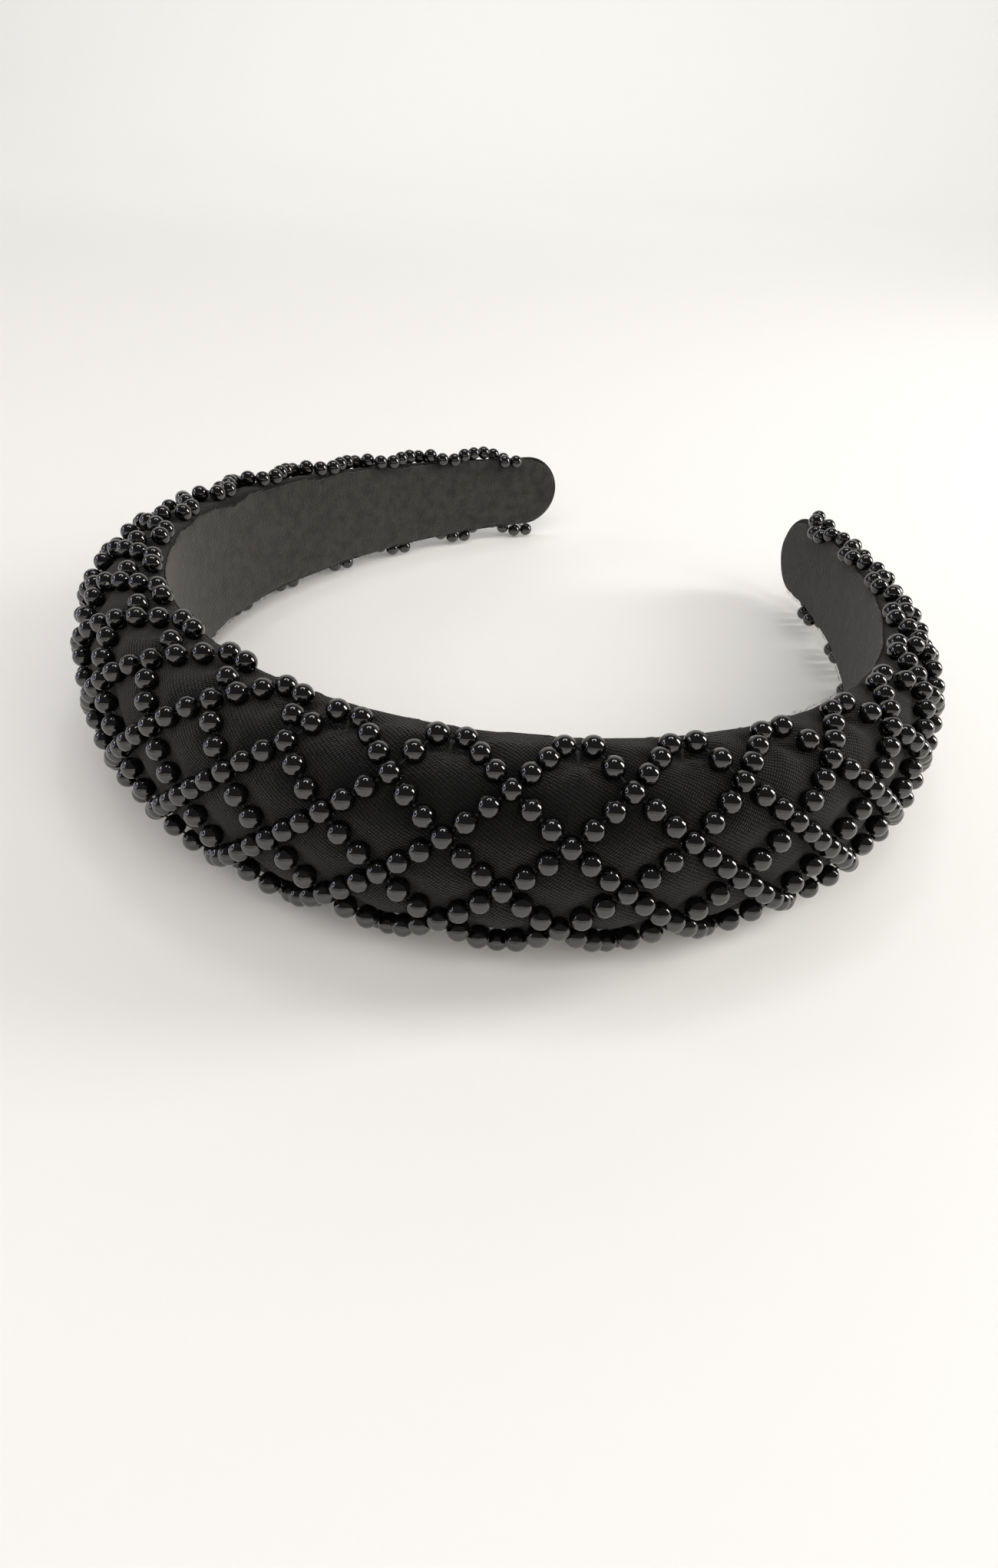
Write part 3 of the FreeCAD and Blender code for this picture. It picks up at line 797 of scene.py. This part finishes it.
# camera: its place in mm in the band's flat frame, and the way it is turned in degrees
view = {"eye": (72.43, -88.71, 78.02), "pan": 115.7866, "tilt": -34.7089, "roll": 5.0528, "lens": 21.22}
camera = bpy.data.objects.new("camera", bpy.data.cameras.new("camera"))
bpy.context.scene.collection.objects.link(camera)
bpy.context.scene.camera = camera
camera.data.lens = view["lens"]
camera.data.sensor_width = 36
camera.data.clip_start = 0.005
pan, tilt, roll = (math.radians(view[key]) for key in ("pan", "tilt", "roll"))
aim = Vector((math.cos(pan) * math.cos(tilt), math.sin(pan) * math.cos(tilt), math.sin(tilt)))
levelRight = Vector((math.sin(pan), -math.cos(pan), 0))
cameraRight = levelRight * math.cos(roll) + levelRight.cross(aim) * math.sin(roll)
ways = [way[0] * flatX + way[1] * flatY + way[2] * flatZ
        for way in (cameraRight, cameraRight.cross(aim), -aim)]
turned = Matrix.Identity(4)
for column, way in enumerate(ways + [toPart([view["eye"]])[0]]):
    for row in range(3):
        turned[row][column] = way[row]
camera.matrix_world = turned

# floor: one paper sweep, flat under the headband and curving up far behind it
sweepSize = {
    "half": 3.0, "flatEnd": 1.2, "backRise": 1.6, "backRadius": 0.9,
    "frontLip": [(-0.9, 0.42), (-0.86, 0.16), (-0.78, 0.05), (-0.66, 0.0)],
}
# uncoated background paper: no gloss, so the floor shows only soft shadow
paper, tree, shader = newMaterial("warm white paper sweep")
setShader(shader, Base_Color=linear("#ecebe8"), Roughness=0.85)
flatForward = Vector((-ways[2][0], -ways[2][1], 0)).normalized()
flatRight = Vector((flatForward.y, -flatForward.x, 0))
radius = sweepSize["backRadius"]
profile = sweepSize["frontLip"] + [
    (sweepSize["flatEnd"] + radius * math.sin(a), radius * (1 - math.cos(a)))
    for a in np.linspace(0, math.pi / 2, 16)]
profile.append((profile[-1][0], radius + sweepSize["backRise"]))
across = np.linspace(-sweepSize["half"], sweepSize["half"], 9)
grid = np.array([[flatForward * y + flatRight * x + Vector((0, 0, z)) for x in across] for y, z in profile])
index = np.arange(grid.shape[0] * grid.shape[1]).reshape(grid.shape[:2])
faces = np.stack([index[:-1, :-1], index[1:, :-1], index[1:, 1:], index[:-1, 1:]], -1).reshape(-1, 4)
sweep = newObject("paper_sweep", grid.reshape(-1, 3), faces[:, ::-1], paper)


# azimuth 0 is the part's own x, and 90 its y
def direction(azimuth, elevation):
    a, e = math.radians(azimuth), math.radians(elevation)
    return Vector((math.cos(a) * math.cos(e), math.sin(a) * math.cos(e), math.sin(e)))


def aimed(obj, where, target=(0, 0, 0.02)):
    obj.location = where
    obj.rotation_euler = (Vector(target) - obj.location).to_track_quat("-Z", "Y").to_euler()
    return obj


def areaLight(name, where, size, power, hexCode, inReflections, target=(0, 0, 0.02)):
    data = bpy.data.lights.new(name, "AREA")
    data.shape = "RECTANGLE"
    data.size, data.size_y = size
    data.energy = power
    data.color = linear(hexCode)[:3]
    obj = bpy.data.objects.new(name, data)
    bpy.context.scene.collection.objects.link(obj)
    obj.visible_glossy = inReflections
    return aimed(obj, where, target)


# a flat glowing ring, disc or arc that the beads reflect; a spike stands for the lamp's post
def glowingArc(name, where, inner, outer, turnFrom, turnTo, strength, hexCode, spike=0.0, roll=0):
    turn = np.radians(np.linspace(turnFrom, turnTo, 40))
    circle = np.stack([np.cos(turn), np.sin(turn), 0 * turn], -1)
    ring = np.stack([circle * inner, circle * outer], 1)
    index = np.arange(len(turn) * 2).reshape(-1, 2)
    faces = np.stack([index[:-1, 0], index[:-1, 1], index[1:, 1], index[1:, 0]], -1)
    verts = ring.reshape(-1, 3)
    if spike:
        foot, wide, lean = inner * 0.5, spike * 0.12, spike * 0.4
        post = np.array([[foot, 0, 0], [foot + wide, 0, 0], [foot + wide + lean, spike, 0],
                         [foot + lean, spike, 0]])
        faces = np.concatenate([faces, [np.arange(4) + len(verts)]])
        verts = np.concatenate([verts, post])
    verts = verts @ np.array(Matrix.Rotation(math.radians(roll), 3, "Z")).T
    glow = bpy.data.materials.new(name + " glow")
    glow.use_nodes = True
    glow.node_tree.nodes.clear()
    shine = addNode(glow.node_tree, "ShaderNodeEmission", {"Color": linear(hexCode), "Strength": strength})
    out = addNode(glow.node_tree, "ShaderNodeOutputMaterial")
    glow.node_tree.links.new(shine.outputs[0], out.inputs["Surface"])
    obj = newObject(name, verts, faces, glow)
    return aimed(obj, where)


# lamps: place, size in metres, watts, colour, and whether glossy beads show it
lamps = {
    "key_softbox": (direction(36, 24) * 0.8, (0.20, 0.45), 3.6, "#fffdfa", True),
    "overhead_fill": (direction(-80, 72) * 1.6, (2.6, 2.6), 0.8, "#fffdf8", False),
    "left_fill": (direction(165, 30) * 1.5, (1.3, 0.7), 0.6, "#fffaf2", True),
    "front_fill": (direction(-50, 44) * 1.6, (2.6, 1.5), 35.0, "#fffbf6", False),
}
for name, values in lamps.items():
    areaLight(name, *values)
wash = {"away": 1.0, "high": 1.1, "size": (3.4, 0.8), "power": 17.0, "aimAway": 2.0, "aimHigh": 0.2}
areaLight("backdrop_wash", flatForward * wash["away"] + Vector((0, 0, wash["high"])), wash["size"],
          wash["power"], "#fdfeff", False, flatForward * wash["aimAway"] + Vector((0, 0, wash["aimHigh"])))
# glowing shapes: place, inner and outer radius in metres, from and to in degrees, strength, colour
glows = {
    "umbrella": (direction(112, 86) * 1.1, 0.21, 0.32, -8, 195, 7.5, "#f4f6fa", 0.42, 180),
    "ring_flash": (direction(215, 20) * 0.8, 0.15, 0.23, 0, 360, 3.2, "#dcdff6"),
    "spot_lamp": (direction(199, 31) * 0.9, 0.0, 0.06, 0, 360, 10.0, "#ffffff"),
}
for name, values in glows.items():
    glowingArc(name, *values)
worldStrength = 0.09
world = bpy.data.worlds.new("dark studio")
bpy.context.scene.world = world
world.use_nodes = True
world.node_tree.nodes["Background"].inputs["Color"].default_value = (1, 0.98, 0.96, 1)
world.node_tree.nodes["Background"].inputs["Strength"].default_value = worldStrength
bpy.context.scene.view_settings.view_transform = "Standard"
print("stage and lights set")
